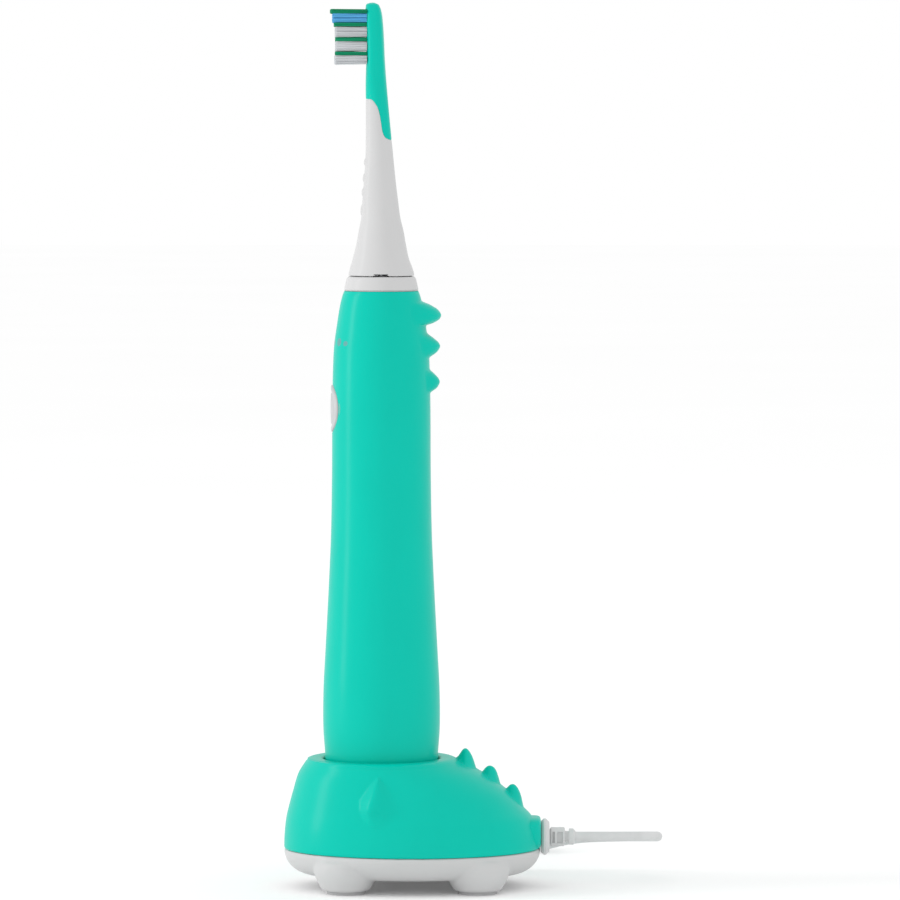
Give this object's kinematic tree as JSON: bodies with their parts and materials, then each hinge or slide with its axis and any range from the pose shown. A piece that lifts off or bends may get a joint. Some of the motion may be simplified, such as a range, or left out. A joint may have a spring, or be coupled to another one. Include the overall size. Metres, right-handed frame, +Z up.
{
  "type": "electric toothbrush on charger",
  "caption": "Rechargeable toothbrush with spiked grip standing in a round-backed charger cup on four feet, with a thin lead and plug.",
  "frame": {"origin": "middle of the charger's base on the surface it stands on", "axes": "+Z up along the brush; bristles and button towards -X; the charger's tail and cord towards +X"},
  "size_m": [0.1069, 0.1148, 0.2476],
  "materials": {
    "green_plastic": "satin moulded plastic",
    "grey_plastic": "satin moulded plastic",
    "cord_jacket": "soft matt jacket",
    "pad_rubber": "matt rubber",
    "steel": "plain",
    "circuit_board": "solder mask",
    "chip_black": "matt",
    "copper": "enamelled wire",
    "dark_ferrite": "matt",
    "natural_nylon": "natural",
    "clear_lens": "frosted lens",
    "cell_sleeve": "shrink sleeve",
    "bristle_green": "nylon filament",
    "bristle_blue": "nylon filament",
    "bristle_white": "nylon filament"
  },
  "bodies": {
    "charger": {"charger_shell": "green_plastic", "charger_tray": "grey_plastic", "foot_pads": "pad_rubber", "tray_screws": "steel", "charger_board": "circuit_board", "charger_board_parts": "chip_black", "coil_bobbin": "natural_nylon", "primary_coil": "copper", "ferrite_core": "dark_ferrite", "indicator_lens": "clear_lens", "cord_grommet": "cord_jacket", "cord_lead": "cord_jacket", "cord_coil": "cord_jacket", "cord_tail": "cord_jacket", "usb_plug_grip": "cord_jacket", "usb_plug_shell": "steel", "usb_plug_tongue": "chip_black"},
    "handle": {"handle_shell": "green_plastic", "handle_collar": "grey_plastic", "bottom_cap": "grey_plastic", "cap_seal": "pad_rubber", "coil_former": "natural_nylon", "receiver_coil": "copper", "inner_frame": "natural_nylon", "battery_cell": "cell_sleeve", "battery_tabs": "steel", "handle_board": "circuit_board", "handle_board_parts": "chip_black", "tact_switch": "chip_black", "button_seal": "pad_rubber", "motor_case": "steel", "stator_core": "dark_ferrite", "stator_coils": "copper", "rear_bearing": "natural_nylon", "front_bearing": "natural_nylon", "motor_damper": "pad_rubber", "shaft_seal": "pad_rubber"},
    "button": {"power_button": "grey_plastic"},
    "drive": {"drive_shaft": "steel", "rotor_magnet": "steel"},
    "brush_head": {"brush_neck": "grey_plastic", "brush_head_cover": "green_plastic", "tufts_green": "bristle_green", "tufts_blue": "bristle_blue", "tufts_white": "bristle_white", "tuft_anchors": "copper", "shaft_socket": "natural_nylon", "grip_spring": "steel"}
  },
  "joints": [
    {"name": "lift_off", "type": "slide", "parent": "charger", "child": "handle", "axis": [0, 0, 1], "range_m": [0, 0.03]},
    {"name": "button_press", "type": "slide", "parent": "handle", "child": "button", "axis": [1, 0, 0], "range_m": [0, 0.0005], "stiffness_N_per_m": 1500},
    {"name": "shaft_swing", "type": "hinge", "parent": "handle", "child": "drive", "pos_m": [-0.0086, 0, 0.15], "axis": [0, 0, 1], "range_deg": [-4, 4], "stiffness_Nm_per_rad": 0.6},
    {"name": "head_pull_off", "type": "slide", "parent": "drive", "child": "brush_head", "axis": [0, 0, 1], "range_m": [0, 0.025]}
  ]
}
